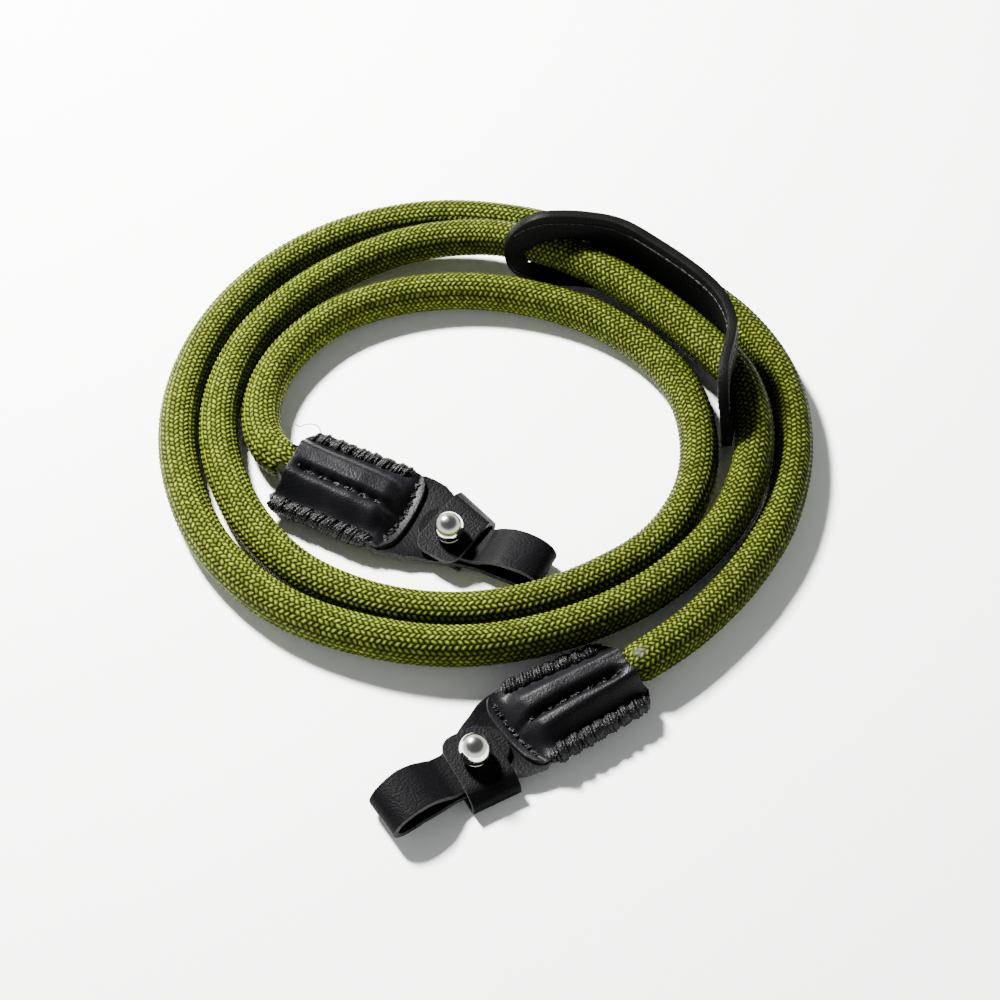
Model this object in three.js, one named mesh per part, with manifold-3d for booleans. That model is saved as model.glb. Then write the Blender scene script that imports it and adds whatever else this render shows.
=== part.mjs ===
// Braided camera strap: a round braided rope, lying in loose loops on a table, with a sewn leather
// fitting on each end and a leather shoulder pad threaded on it.
// Millimetres, +Z up. The floor is z = 0, and the origin is on it under the middle of the leather pieces.

import * as THREE from "three";
import { mergeVertices } from "three/addons/utils/BufferGeometryUtils.js";
import Module from "manifold-3d";

const wasm = await Module();
wasm.setup();

// Driving sizes
const ropeDiameter = 10;
const ropeFacetRelief = 0.6; // the faceted tube is this much slimmer, so that loops side by side stay clear
const ropeSides = 12;
const ropeSteps = 74;
const gap = 0.3; // clearance between pieces that touch on the real strap

const plateThickness = 1.3;
const coverThickness = 1.2;
const keeperThickness = 1.1;

const sleeveLength = 34.5;
const mouthHalfWidth = 10; // inner side of the thread to the middle line, at the rope's mouth
const frontHalfWidth = 10.3; // the same at the thread's front end
const plateHalfWidth = 13; // both leathers in front of the thread
const mouthCornerRadius = 3.5;
const frontCornerRadius = 5;
const sleeveEdgeHeight = 3.3; // middle of the plate's thickness at its sewn edges
const strapHalfWidth = 5;
const loopHeight = 7.1; // middle of the upper run of the loop above the floor

const seamWidth = 2.6;
const seamHeight = 4.2;

const keeperWidth = 12;
const keeperReach = 7.8; // free end of the keeper, to the right of the stud

const ballDiameter = 7.5;
const postDiameter = 3;
const screwHeadDiameter = 7;
const screwHeadHeight = 1;

const padHeight = 26;
const padThickness = 2.4;
const padHoleClearance = 0.4; // round the rope, in the pad's two holes
const padLean = 0.14; // slope of the pad's wall at its outer end

// Where the two ends lie: the middle of the sleeve's mouth, and the direction from mouth to loop tip.
// They are cut and sewn by hand and differ a little: sleeve is the sleeve's length, width its width at
// mouth and front against the sizes above, and reach runs from the mouth to the tip of the folded loop.
// sway has rows of place along the fitting and how far its middle strays to the left there. skew turns
// the keeper, fold is how far it reaches to the left of the stud, and slant is the slope of its fold.
const ends = [
  {
    name: "inner",
    mouth: new THREE.Vector2(-55.3, 17.6),
    turn: THREE.MathUtils.degToRad(-26.5),
    sleeve: sleeveLength,
    width: [1, 1],
    reach: 72.4,
    stud: new THREE.Vector2(46.7, -2.0),
    sway: [[0, -0.6], [30, -0.6], [35, 0.3], [41, 0.4], [46.7, -1], [52, -0.9], [58, -0.1], [70, 0.1]],
    skew: -0.14,
    fold: 12.7,
    slant: 0.26,
  },
  {
    name: "outer",
    mouth: new THREE.Vector2(28.3, -43.7),
    turn: THREE.MathUtils.degToRad(-145.9),
    sleeve: 0.95 * sleeveLength,
    width: [0.75, 0.89],
    reach: 68.2,
    stud: new THREE.Vector2(42.9, -0.6),
    sway: [[0, 0.2], [28, -1.7], [34, -1.9], [40, -1.8], [43, -1.4], [48, -0.6], [60, -0.7], [67, 0]],
    skew: -0.1,
    fold: 10.8,
    slant: 0,
  },
];

// The rope's middle line, chosen by hand from one sleeve to the other
const ropeRoute = [
  // inside the inner end's sleeve, out of its mouth and round the inner loop
  [-50.9, 15.1, 6.0], [-55.3, 17.6, 5.8], [-59.6, 22.0, 5.4], [-62.3, 28.4, 5.0],
  [-63.0, 37.0, 5.0], [-61.0, 47.0, 5.0], [-55.8, 57.0, 5.0], [-46.3, 67.3, 5.0],
  [-31.5, 74.6, 5.0], [-13.0, 77.4, 5.0], [6.0, 74.8, 5.0], [23.0, 67.6, 5.0],
  [36.3, 56.4, 5.0], [45.4, 41.5, 5.0], [48.2, 24.5, 5.0], [45.5, 8.5, 5.0],
  [36.6, -6.5, 5.0], [22.5, -17.2, 5.0], [4.5, -25.1, 5.0], [-15.0, -27.6, 5.0],
  [-34.0, -24.1, 5.0], [-51.0, -14.8, 5.0], [-64.0, 0.7, 5.0], [-72.0, 20.0, 5.0],
  // the middle loop, which climbs to the pad's holes and comes down again
  [-73.4, 39.0, 5.0], [-68.3, 57.8, 5.0], [-58.0, 73.0, 5.1], [-44.0, 85.0, 5.6],
  [-27.0, 92.8, 6.9], [-8.0, 94.0, 8.8], [6.5, 88.8, 11.6], [18.5, 81.8, 13.0],
  [34.5, 69.2, 13.0], [50.0, 52.2, 13.0], [59.0, 38.5, 12.6], [61.6, 22.2, 10.2],
  [56.7, 4.0, 8.1], [48.0, -9.3, 7.2], [32.6, -23.6, 7.0], [12.5, -33.7, 6.7],
  [-10.0, -38.0, 6.3], [-33.0, -35.1, 6.0], [-55.0, -25.3, 5.4], [-72.2, -7.5, 5.0],
  // the outer loop, and into the outer end's sleeve
  [-82.0, 16.5, 5.0], [-83.6, 40.0, 5.0], [-77.2, 64.0, 5.0], [-64.2, 83.7, 5.0],
  [-45.6, 98.0, 5.0], [-22.0, 105.1, 5.0], [2.0, 103.4, 5.0], [25.0, 94.8, 5.0],
  [45.5, 81.5, 5.0], [61.5, 65.2, 5.0], [70.6, 45.5, 5.0], [72.0, 23.5, 5.0],
  [66.9, 2.0, 5.0], [56.6, -16.5, 5.0], [43.0, -32.0, 5.1], [29.6, -42.8, 5.8],
  [25.5, -45.6, 6.0],
];

// The pad's middle line at half its height, from its end by the inner loop to its outer end
const padRoute = [
  [-0.9, 84.8], [9.8, 85.3], [19.6, 85.1], [29.4, 82.5], [39.5, 74.3], [49.3, 64.2],
  [54.8, 56.4], [57.6, 47.5], [57.0, 40.5], [55.4, 34.0], [54.4, 27.5], [54.0, 20.6],
];

const leather = new THREE.MeshStandardMaterial({ color: 0x1b1b1d, roughness: 0.55, metalness: 0 });
const coverLeather = new THREE.MeshStandardMaterial({ color: 0x202023, roughness: 0.45, metalness: 0 });
const padLeather = new THREE.MeshStandardMaterial({ color: 0x18181a, roughness: 0.6, metalness: 0 });
const thread = new THREE.MeshStandardMaterial({ color: 0x0e0e10, roughness: 0.35, metalness: 0 });
const braid = new THREE.MeshStandardMaterial({ color: 0x6f7a26, roughness: 0.75, metalness: 0 });
const nickel = new THREE.MeshStandardMaterial({ color: 0xb4b2ae, roughness: 0.25, metalness: 1 });

// Geometry helpers

function toSolid(geometry) {
  const bare = geometry.clone();
  bare.deleteAttribute("normal");
  bare.deleteAttribute("uv");
  const merged = mergeVertices(bare, 1e-4);
  return new wasm.Manifold(new wasm.Mesh({
    numProp: 3,
    vertProperties: new Float32Array(merged.attributes.position.array),
    triVerts: new Uint32Array(merged.index.array),
  }));
}

function toGeometry(solid) {
  const mesh = solid.getMesh();
  const geometry = new THREE.BufferGeometry();
  geometry.setAttribute("position", new THREE.BufferAttribute(new Float32Array(mesh.vertProperties), 3));
  geometry.setIndex(new THREE.BufferAttribute(new Uint32Array(mesh.triVerts), 1));
  geometry.computeVertexNormals();
  return geometry;
}

function cut(geometry, ...cutters) {
  return toGeometry(cutters.reduce((solid, cutter) => solid.subtract(toSolid(cutter)), toSolid(geometry)));
}

function named(name, geometry, material) {
  const mesh = new THREE.Mesh(geometry, material);
  mesh.name = name;
  return mesh;
}

// A closed slab between two grids of points, rows by columns, lower(i, j) and upper(i, j)
function slab(rows, columns, lower, upper) {
  const positions = [];
  for (const side of [lower, upper]) {
    for (let i = 0; i <= rows; i += 1) {
      for (let j = 0; j <= columns; j += 1) {
        positions.push(...side(i / rows, j / columns).toArray());
      }
    }
  }
  const layer = (rows + 1) * (columns + 1);
  const at = (k, i, j) => k * layer + i * (columns + 1) + j;
  const index = [];
  const quad = (a, b, c, d) => index.push(a, b, c, a, c, d);
  for (let i = 0; i < rows; i += 1) {
    for (let j = 0; j < columns; j += 1) {
      quad(at(0, i, j), at(0, i, j + 1), at(0, i + 1, j + 1), at(0, i + 1, j));
      quad(at(1, i, j), at(1, i + 1, j), at(1, i + 1, j + 1), at(1, i, j + 1));
    }
    quad(at(0, i, 0), at(0, i + 1, 0), at(1, i + 1, 0), at(1, i, 0));
    quad(at(0, i, columns), at(1, i, columns), at(1, i + 1, columns), at(0, i + 1, columns));
  }
  for (let j = 0; j < columns; j += 1) {
    quad(at(0, 0, j), at(1, 0, j), at(1, 0, j + 1), at(0, 0, j + 1));
    quad(at(0, rows, j), at(0, rows, j + 1), at(1, rows, j + 1), at(1, rows, j));
  }
  const geometry = new THREE.BufferGeometry();
  geometry.setAttribute("position", new THREE.BufferAttribute(new Float32Array(positions), 3));
  geometry.setIndex(index);
  geometry.computeVertexNormals();
  return geometry;
}

// A band of leather of even thickness that follows a line in the XZ plane; halfWidth(t) gives its width
// along the line, lift(t, side) how far its edges rise, for t from 0 to 1 and side from -1 to 1, and
// stray(x) how far its middle lies to the left
function band(line, thickness, rows, columns, halfWidth, lift = () => 0, stray = () => 0) {
  const points = line.getSpacedPoints(rows);
  const place = (t, side, offset) => {
    const i = Math.round(t * rows);
    const tangent = line.getTangentAt(t);
    const width = halfWidth(t);
    return new THREE.Vector3(
      points[i].x - tangent.y * offset,
      side * width + stray(points[i].x),
      points[i].y + tangent.x * offset + lift(t, side),
    );
  };
  return slab(
    rows,
    columns,
    (t, j) => place(t, 2 * j - 1, -thickness / 2),
    (t, j) => place(t, 2 * j - 1, thickness / 2),
  );
}

// Linear reading of a short table of [position, value] rows
function read(table, x) {
  const last = table.length - 1;
  if (x <= table[0][0]) return table[0][1];
  for (let k = 0; k < last; k += 1) {
    const [x0, y0] = table[k];
    const [x1, y1] = table[k + 1];
    if (x <= x1) return THREE.MathUtils.lerp(y0, y1, (x - x0) / (x1 - x0));
  }
  return table[last][1];
}

// How much narrower a band is, near an end with round corners
function cornerInset(distance, radius) {
  if (distance >= radius) return 0;
  return radius - Math.sqrt(Math.max(radius ** 2 - (radius - distance) ** 2, 0));
}

// The rope

const ropeLine = new THREE.CatmullRomCurve3(ropeRoute.map((point) => new THREE.Vector3(...point)));

function ropeTube(radius) {
  const section = new THREE.Shape();
  for (let k = 0; k < ropeSides; k += 1) {
    const angle = (2 * Math.PI * (k + 0.5)) / ropeSides;
    const corner = [radius * Math.cos(angle), radius * Math.sin(angle)];
    if (k === 0) section.moveTo(...corner);
    else section.lineTo(...corner);
  }
  section.closePath();
  return new THREE.ExtrudeGeometry(section, { steps: ropeSteps, extrudePath: ropeLine, bevelEnabled: false });
}

// A block that covers the sleeve's inside just behind its mouth, so that the tube ends at the mouth
function mouthBlock(end) {
  const length = 12;
  const block = new THREE.BoxGeometry(length, 2 * mouthHalfWidth, 3 * ropeDiameter);
  block.translate(length / 2 - gap / 2, 0, 0);
  block.rotateZ(end.turn);
  block.translate(end.mouth.x, end.mouth.y, 0);
  return block;
}

function rope() {
  const tube = ropeTube((ropeDiameter - ropeFacetRelief) / 2);
  return named("rope", cut(tube, ...ends.map(mouthBlock)), braid);
}

// The shoulder pad: a leather wall on its long edge, with half-round ends and two holes for the rope

function shoulderPad() {
  const line = new THREE.CatmullRomCurve3(padRoute.map(([x, y]) => new THREE.Vector3(x, y, 0)));
  const length = line.getLength();
  const half = padHeight / 2;
  const rows = 40;
  const columns = 6;
  const least = 0.6;
  const across = (i, j, offset) => {
    // rows crowd towards the two round ends
    const t = (1 - Math.cos(Math.PI * i)) / 2;
    const fromEnd = Math.min(t, 1 - t) * length;
    const reach = Math.max(half - cornerInset(fromEnd, half), least);
    const height = (2 * j - 1) * reach;
    const point = line.getPointAt(t);
    const tangent = line.getTangentAt(t);
    const lean = padLean * THREE.MathUtils.smoothstep(t, 0.55, 0.85);
    const out = offset - lean * height;
    return new THREE.Vector3(point.x - tangent.y * out, point.y + tangent.x * out, half + height);
  };
  const wall = slab(
    rows,
    columns,
    (i, j) => across(i, j, padThickness / 2),
    (i, j) => across(i, j, -padThickness / 2),
  );
  return named("shoulder_pad", cut(wall, ropeTube(ropeDiameter / 2 + padHoleClearance)), padLeather);
}

// One end fitting, modelled with the sleeve's mouth at x = 0 and its loop's tip along +X

const seamEnd = 0.85; // share of the sleeve where the thread ends and the leathers widen

function sleeveHalfWidth(end, x) {
  const [mouth, front] = end.width;
  return read([
    [0, mouth * mouthHalfWidth], [0.8 * end.sleeve, front * frontHalfWidth],
    [(seamEnd + 0.01) * end.sleeve, front * frontHalfWidth], [0.93 * end.sleeve, front * plateHalfWidth],
  ], x);
}

// Height of the plate's sewn edges above its middle: full along the sleeve, none where the strap is narrow
function plateLift(end, x, side) {
  const full = sleeveEdgeHeight - plateThickness / 2;
  const rise = full * (1 - THREE.MathUtils.smoothstep(x, 0.8 * end.sleeve, end.stud.x));
  return rise * Math.abs(side) ** 2.2;
}

const strapBottom = keeperThickness + gap; // underside of the strap where the keeper passes beneath it
const strapTop = strapBottom + 2 * plateThickness + gap; // upper face of the two layers of strap
const lowerRun = strapBottom + plateThickness / 2;
const upperRun = strapTop - plateThickness / 2;
const keeperUnderside = strapTop + gap;
const keeperTop = keeperUnderside + keeperThickness;

// An upright round cutter through the whole fitting, at the stud
function studHole(end, radius, reach) {
  const hole = new THREE.CylinderGeometry(radius, radius, 2 * reach, 16);
  hole.rotateX(Math.PI / 2);
  hole.translate(end.stud.x, end.stud.y, 0);
  return hole;
}

const postHoleRadius = postDiameter / 2 + gap;
const throughAll = 10; // half the height of a cutter that passes every layer at the stud

// The middle of the base strap's thickness, as seen from its side
function strapLine(end) {
  const half = plateThickness / 2;
  const tip = end.reach - half;
  const studX = end.stud.x;
  return new THREE.SplineCurve([
    [0.4, half], [0.35 * end.sleeve, half + 0.02], [0.8 * end.sleeve, half + 0.16],
    [studX - 6.8, lowerRun], [studX, lowerRun], [studX + 7, lowerRun],
    [studX + 12, half + 0.35], [studX + 16, half + 0.1], [tip - 4.6, half + 0.1], [tip - 1.3, half + 1],
    [tip, loopHeight / 2 + 0.1], [tip - 1.2, loopHeight - 1.2], [tip - 4.6, loopHeight],
    [tip - 10, loopHeight - 0.3], [studX + 11, upperRun + 1.5], [studX + 8, upperRun + 0.15],
    [studX, upperRun], [studX - 6, upperRun], [studX - 8.8, upperRun + 0.2],
  ].map(([x, z]) => new THREE.Vector2(x, z)));
}

function baseStrap(end) {
  const line = strapLine(end);
  const length = line.getLength();
  const tip = end.reach - plateThickness / 2;
  const studX = end.stud.x;
  const front = end.width[1];
  // half width along the leather, as far as the narrow strap and over its loop
  const outline = [
    [0, sleeveHalfWidth(end, 0) - mouthCornerRadius / 2],
    [mouthCornerRadius, sleeveHalfWidth(end, mouthCornerRadius)],
    [(seamEnd + 0.01) * end.sleeve, front * frontHalfWidth], [0.93 * end.sleeve, front * plateHalfWidth],
    [studX - 8.5, front * (plateHalfWidth - 0.9)], [studX - 6, front * (plateHalfWidth - 2.2)],
    [studX, 7.5], [studX + 5, 6.1], [studX + 10, strapHalfWidth + 0.4], [tip, strapHalfWidth],
    [tip + 10, strapHalfWidth + 0.6], [length - 16, strapHalfWidth + 0.3],
  ];
  const halfWidth = (t) => {
    const along = t * length;
    return read(outline, along) - cornerInset((1 - t) * length, strapHalfWidth - 0.4);
  };
  const lift = (t, side) => plateLift(end, t * length, side);
  const strap = band(line, plateThickness, 44, 6, halfWidth, lift, (x) => read(end.sway, x));
  return cut(strap, studHole(end, postHoleRadius, throughAll));
}

// Upper face of the leather cover: level along the thread, with two swellings over the rope's end, and
// lying on the plate in front of them
function coverTop(end, x, y) {
  const length = end.sleeve;
  const level = sleeveEdgeHeight + plateThickness / 2 + gap + coverThickness;
  const side = Math.min(Math.abs(y) / sleeveHalfWidth(end, x), 1);
  const plate = read(end.run, x) + plateLift(end, x, side) + plateThickness / 2;
  const front = THREE.MathUtils.smoothstep(x, 0.8 * length, 0.93 * length);
  const edge = THREE.MathUtils.lerp(level, plate + 2 * gap + coverThickness, front);
  const crown = read([[0, 10.7], [0.3 * length, 9.9], [0.6 * length, 9.3], [0.78 * length, 8.6]], x);
  const fall = 1 - THREE.MathUtils.smoothstep(x, 0.76 * length, 0.92 * length);
  const shoulder = 1 - THREE.MathUtils.smoothstep(side, 0.46, 1);
  const grooveDepth = 2.4 * THREE.MathUtils.smoothstep(x, 0, 0.16 * length);
  const groove = grooveDepth * Math.exp(-((y / 1.5) ** 2));
  return edge + (crown - edge - groove) * fall * shoulder;
}

function sleevePlace(end, i, j, inset, endInset) {
  const x = 0.2 + i * (end.sleeve - 0.2 - endInset);
  const corner = cornerInset(end.sleeve - x, frontCornerRadius) + cornerInset(x, mouthCornerRadius);
  const y = (2 * j - 1) * (sleeveHalfWidth(end, x) - corner - inset);
  return [x, y];
}

function sleeveCover(end) {
  const at = (drop) => (i, j) => {
    const [x, y] = sleevePlace(end, i, j, 0, 0);
    return new THREE.Vector3(x, y + read(end.sway, x), coverTop(end, x, y) - drop);
  };
  return slab(14, 16, at(coverThickness), at(0));
}

// The rope's flattened end, between the plate and the cover
function ropeCore(end) {
  const inset = 3.6 * end.width[0];
  const frontInset = 0.24 * end.sleeve;
  const at = (height) => (i, j) => {
    const [x, y] = sleevePlace(end, i, j, inset, frontInset);
    return new THREE.Vector3(x, y + read(end.sway, x), height(x, y));
  };
  const floor = (x, y) => plateThickness + gap + 0.2 + plateLift(end, x, y / sleeveHalfWidth(end, x));
  const roof = (x, y) => Math.max(coverTop(end, x, y) - coverThickness - 2 * gap, floor(x, y) + 0.4);
  return slab(8, 8, at(floor), at(roof));
}

// The overcast thread along one long edge, as one thick cord round both layers of leather
function seam(end, side) {
  const section = new THREE.Shape();
  section.absellipse(0, 0, seamHeight / 2, seamWidth / 2, 0, 2 * Math.PI);
  const stations = [0.07, 0.33, 0.6, seamEnd].map((share) => {
    const x = share * end.sleeve;
    const y = side * (sleeveHalfWidth(end, x) + gap + seamWidth / 2) + read(end.sway, x);
    return new THREE.Vector3(x, y, sleeveEdgeHeight + plateThickness / 2);
  });
  return new THREE.ExtrudeGeometry(section, {
    steps: 10,
    curveSegments: 5,
    extrudePath: new THREE.CatmullRomCurve3(stations),
    bevelEnabled: false,
  });
}

// The keeper's line runs across the fitting, measured from the stud
function keeper(end) {
  const half = keeperThickness / 2;
  const over = keeperUnderside + half;
  const { fold } = end;
  const line = new THREE.SplineCurve([
    [-4.6, half], [0, half], [fold - 2.8, half + 0.05], [fold - 0.9, half + 0.5],
    [fold - half, half + 1.4], [fold - 0.9, half + 2.6], [fold - 2.4, over - 0.7],
    [fold - 4, over - 0.05], [2, over], [-3, over], [half - keeperReach, over],
  ].map(([y, z]) => new THREE.Vector2(y, z)));
  const length = line.getLength();
  const halfWidth = (t) => keeperWidth / 2 - cornerInset((1 - t) * length, keeperWidth / 2 - 0.6);
  const strap = band(line, keeperThickness, 24, 4, halfWidth);
  const places = strap.attributes.position;
  for (let k = 0; k < places.count; k += 1) {
    const reach = places.getX(k);
    const slope = end.slant * THREE.MathUtils.smoothstep(reach, 0.3 * fold, fold - 1);
    places.setX(k, reach + slope * places.getY(k));
  }
  strap.rotateZ(Math.PI / 2 + end.skew);
  strap.translate(end.stud.x, end.stud.y, 0);
  const headHole = studHole(end, screwHeadDiameter / 2 + gap, strapBottom);
  return cut(strap, headHole, studHole(end, postHoleRadius, throughAll));
}

// A screw head under the keeper, a post through every layer, and a ball that sits on the keeper
function ballStud(end) {
  const radius = ballDiameter / 2;
  const post = postDiameter / 2;
  const head = screwHeadDiameter / 2;
  const seat = keeperTop + gap;
  const start = Math.asin(0.7); // where the ball's round begins, above its flat underside
  const centre = seat + radius * Math.cos(start);
  const profile = [
    [0, 0], [head, 0], [head, screwHeadHeight - 0.2], [head - 0.3, screwHeadHeight], [post, screwHeadHeight],
    [post, seat],
  ];
  const arcs = 10;
  for (let k = 0; k <= arcs; k += 1) {
    const angle = start + ((Math.PI - start) * k) / arcs;
    const across = k === arcs ? 0 : radius * Math.sin(angle);
    profile.push([across, centre - radius * Math.cos(angle)]);
  }
  const stud = new THREE.LatheGeometry(profile.map(([x, y]) => new THREE.Vector2(x, y)), 14);
  stud.rotateX(Math.PI / 2);
  stud.translate(end.stud.x, end.stud.y, 0);
  return toGeometry(toSolid(stud));
}

function endFitting(end) {
  end.run = strapLine(end).getSpacedPoints(40).slice(0, 16).map((point) => point.toArray());
  const fitting = new THREE.Group();
  fitting.position.set(end.mouth.x, end.mouth.y, 0);
  fitting.rotation.z = end.turn;
  fitting.add(
    named(`${end.name}_base_strap`, baseStrap(end), leather),
    named(`${end.name}_sleeve_cover`, sleeveCover(end), coverLeather),
    named(`${end.name}_rope_core`, ropeCore(end), braid),
    named(`${end.name}_left_seam`, seam(end, 1), thread),
    named(`${end.name}_right_seam`, seam(end, -1), thread),
    named(`${end.name}_keeper`, keeper(end), leather),
    named(`${end.name}_ball_stud`, ballStud(end), nickel),
  );
  return fitting;
}

const strap = new THREE.Group();
strap.add(rope(), shoulderPad(), ...ends.map(endFitting));

export default strap;
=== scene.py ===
# Looks of the braided camera strap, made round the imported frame: the braided rope, the sewn leather
# fittings, the shoulder pad, the ball studs, and a pale studio floor. Shapes are worked out in
# millimetres in the frame's own place, and a finished piece is in metres.

import math
import random

import bmesh
import bpy
from mathutils import Matrix, Vector, noise


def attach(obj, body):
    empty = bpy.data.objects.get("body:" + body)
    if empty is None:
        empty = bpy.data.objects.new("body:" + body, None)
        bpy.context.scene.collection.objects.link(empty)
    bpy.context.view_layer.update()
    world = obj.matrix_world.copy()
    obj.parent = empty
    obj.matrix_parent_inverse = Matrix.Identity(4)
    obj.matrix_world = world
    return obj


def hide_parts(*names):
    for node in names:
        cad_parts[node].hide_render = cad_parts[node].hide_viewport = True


bl_info = {
    "name": "Braided Camera Strap",
    "version": (1, 0, 0),
    "blender": (4, 5, 0),
    "location": "3D View > Sidebar > Camera Strap",
    "description": "Makes a braided rope camera strap with leather end fittings and a shoulder pad",
    "category": "Add Mesh",
}

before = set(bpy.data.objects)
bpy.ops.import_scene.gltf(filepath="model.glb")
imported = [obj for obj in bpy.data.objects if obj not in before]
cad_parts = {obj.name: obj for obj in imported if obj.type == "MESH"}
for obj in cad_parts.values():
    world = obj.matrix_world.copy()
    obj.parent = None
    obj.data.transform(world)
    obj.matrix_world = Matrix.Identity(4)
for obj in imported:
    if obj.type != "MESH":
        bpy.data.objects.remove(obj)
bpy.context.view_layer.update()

# The rope's middle line, from one sleeve to the other
ROPE_ROUTE = [
    (-50.9, 15.1, 6.0), (-55.3, 17.6, 5.8), (-59.6, 22.0, 5.4), (-62.3, 28.4, 5.0),
    (-63.0, 37.0, 5.0), (-61.0, 47.0, 5.0), (-55.8, 57.0, 5.0), (-46.3, 67.3, 5.0),
    (-31.5, 74.6, 5.0), (-13.0, 77.4, 5.0), (6.0, 74.8, 5.0), (23.0, 67.6, 5.0),
    (36.3, 56.4, 5.0), (45.4, 41.5, 5.0), (48.2, 24.5, 5.0), (45.5, 8.5, 5.0),
    (36.6, -6.5, 5.0), (22.5, -17.2, 5.0), (4.5, -25.1, 5.0), (-15.0, -27.6, 5.0),
    (-34.0, -24.1, 5.0), (-51.0, -14.8, 5.0), (-64.0, 0.7, 5.0), (-72.0, 20.0, 5.0),
    (-73.4, 39.0, 5.0), (-68.3, 57.8, 5.0), (-58.0, 73.0, 5.1), (-44.0, 85.0, 5.6),
    (-27.0, 92.8, 6.9), (-8.0, 94.0, 8.8), (6.5, 88.8, 11.6), (18.5, 81.8, 13.0),
    (34.5, 69.2, 13.0), (50.0, 52.2, 13.0), (59.0, 38.5, 12.6), (61.6, 22.2, 10.2),
    (56.7, 4.0, 8.1), (48.0, -9.3, 7.2), (32.6, -23.6, 7.0), (12.5, -33.7, 6.7),
    (-10.0, -38.0, 6.3), (-33.0, -35.1, 6.0), (-55.0, -25.3, 5.4), (-72.2, -7.5, 5.0),
    (-82.0, 16.5, 5.0), (-83.6, 40.0, 5.0), (-77.2, 64.0, 5.0), (-64.2, 83.7, 5.0),
    (-45.6, 98.0, 5.0), (-22.0, 105.1, 5.0), (2.0, 103.4, 5.0), (25.0, 94.8, 5.0),
    (45.5, 81.5, 5.0), (61.5, 65.2, 5.0), (70.6, 45.5, 5.0), (72.0, 23.5, 5.0),
    (66.9, 2.0, 5.0), (56.6, -16.5, 5.0), (43.0, -32.0, 5.1), (29.6, -42.8, 5.8),
    (25.5, -45.6, 6.0),
]

# The pad's middle line at half its height
PAD_ROUTE = [
    (-0.9, 84.8), (9.8, 85.3), (19.6, 85.1), (29.4, 82.5), (39.5, 74.3), (49.3, 64.2),
    (54.8, 56.4), (57.6, 47.5), (57.0, 40.5), (55.4, 34.0), (54.4, 27.5), (54.0, 20.6),
]

# Each fitting's place and its small differences of hand work: the middle of the sleeve's mouth, the
# direction to the loop's tip, the sleeve's length, its width at mouth and front against the common one,
# the reach to the loop's tip, the stud's place, how far the middle strays to the left along the fitting,
# how far the stitched groove lies to the left of that, how far the mouth's right corner is cut back, the
# keeper's skew, its fold to the left of the stud and the slope of that fold
FITTINGS = {
    "inner": {
        "mouth": (-55.3, 17.6), "turn": math.radians(-26.5), "sleeve": 34.5, "width": (1.0, 1.0),
        "reach": 72.4, "stud": (46.7, -2.0),
        "sway": ((0, -0.6), (30, -0.6), (35, 0.3), (41, 0.4), (46.7, -1), (52, -0.9), (58, -0.1), (70, 0.1)),
        "groove": ((0, -1.7), (28, -1.2)), "skewed": 1.8, "skew": -0.14, "fold": 12.7, "slant": 0.26,
    },
    "outer": {
        "mouth": (28.3, -43.7), "turn": math.radians(-145.9), "sleeve": 32.8, "width": (0.75, 0.89),
        "reach": 68.2, "stud": (42.9, -0.6),
        "sway": ((0, 0.2), (28, -1.7), (34, -1.9), (40, -1.8), (43, -1.4), (48, -0.6), (60, -0.7), (67, 0)),
        "groove": ((0, 1.5), (14, 0.6), (28, 0.5)), "skewed": 0.0, "skew": -0.1, "fold": 10.8, "slant": 0.0,
    },
}

PLATE_THICKNESS = 1.3
COVER_THICKNESS = 1.2
KEEPER_THICKNESS = 1.1
CLEARANCE = 0.3
MOUTH_HALF_WIDTH = 10
FRONT_HALF_WIDTH = 10.3
PLATE_HALF_WIDTH = 13
MOUTH_CORNER_RADIUS = 3.5
FRONT_CORNER_RADIUS = 5
SLEEVE_EDGE_HEIGHT = 3.3
SEAM_END = 0.85  # share of the sleeve's length at which the overcast thread ends
SEAM_MARGIN = 1.7  # leather that lies inside the overcast thread, beyond the thread's inner side
FRONT_START = 0.93  # share of the sleeve's length past which it is a flat rim
SWELLING_HEIGHTS = ((0, 11.0), (0.3, 10.1), (0.6, 9.5), (0.85, 8.4))  # at shares of the sleeve's length
GROOVE_DEPTH = 2.0
GROOVE_SPREAD = 1.25  # from the groove's middle to where it has lost two thirds of its depth
STITCH_SPACING = 3.7  # along the groove
FRONT_ROW = 2.1  # from the row of stitches to the sleeve's front edge
STRAP_HALF_WIDTH = 5
LOOP_HEIGHT = 7.1
KEEPER_WIDTH = 12
KEEPER_REACH = 7.8
KEEPER_CORNER_RADIUS = 3.6
BALL_DIAMETER = 7.5
BALL_SEAT = 0.7  # how far out on its own radius the ball touches its seat
BALL_NECK = 0.62  # the same for the neck that it grows from
POST_DIAMETER = 3
SCREW_HEAD_DIAMETER = 7
PAD_HEIGHT = 26
PAD_THICKNESS = 2.4
PAD_LEAN = 0.14
PAD_STITCHES = 60  # places for stitches along the pad, of which the ends stay free
PAD_HOLE_RADIUS = 5.25
ROPE_SCUFF = (29.9, -42.0, 10.6)  # middle of a rubbed patch on the rope

STRAP_BOTTOM = KEEPER_THICKNESS + CLEARANCE
STRAP_TOP = STRAP_BOTTOM + 2 * PLATE_THICKNESS + CLEARANCE
LOWER_RUN = STRAP_BOTTOM + PLATE_THICKNESS / 2
UPPER_RUN = STRAP_TOP - PLATE_THICKNESS / 2
KEEPER_UNDERSIDE = STRAP_TOP + CLEARANCE
KEEPER_TOP = KEEPER_UNDERSIDE + KEEPER_THICKNESS


# Small helpers

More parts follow.
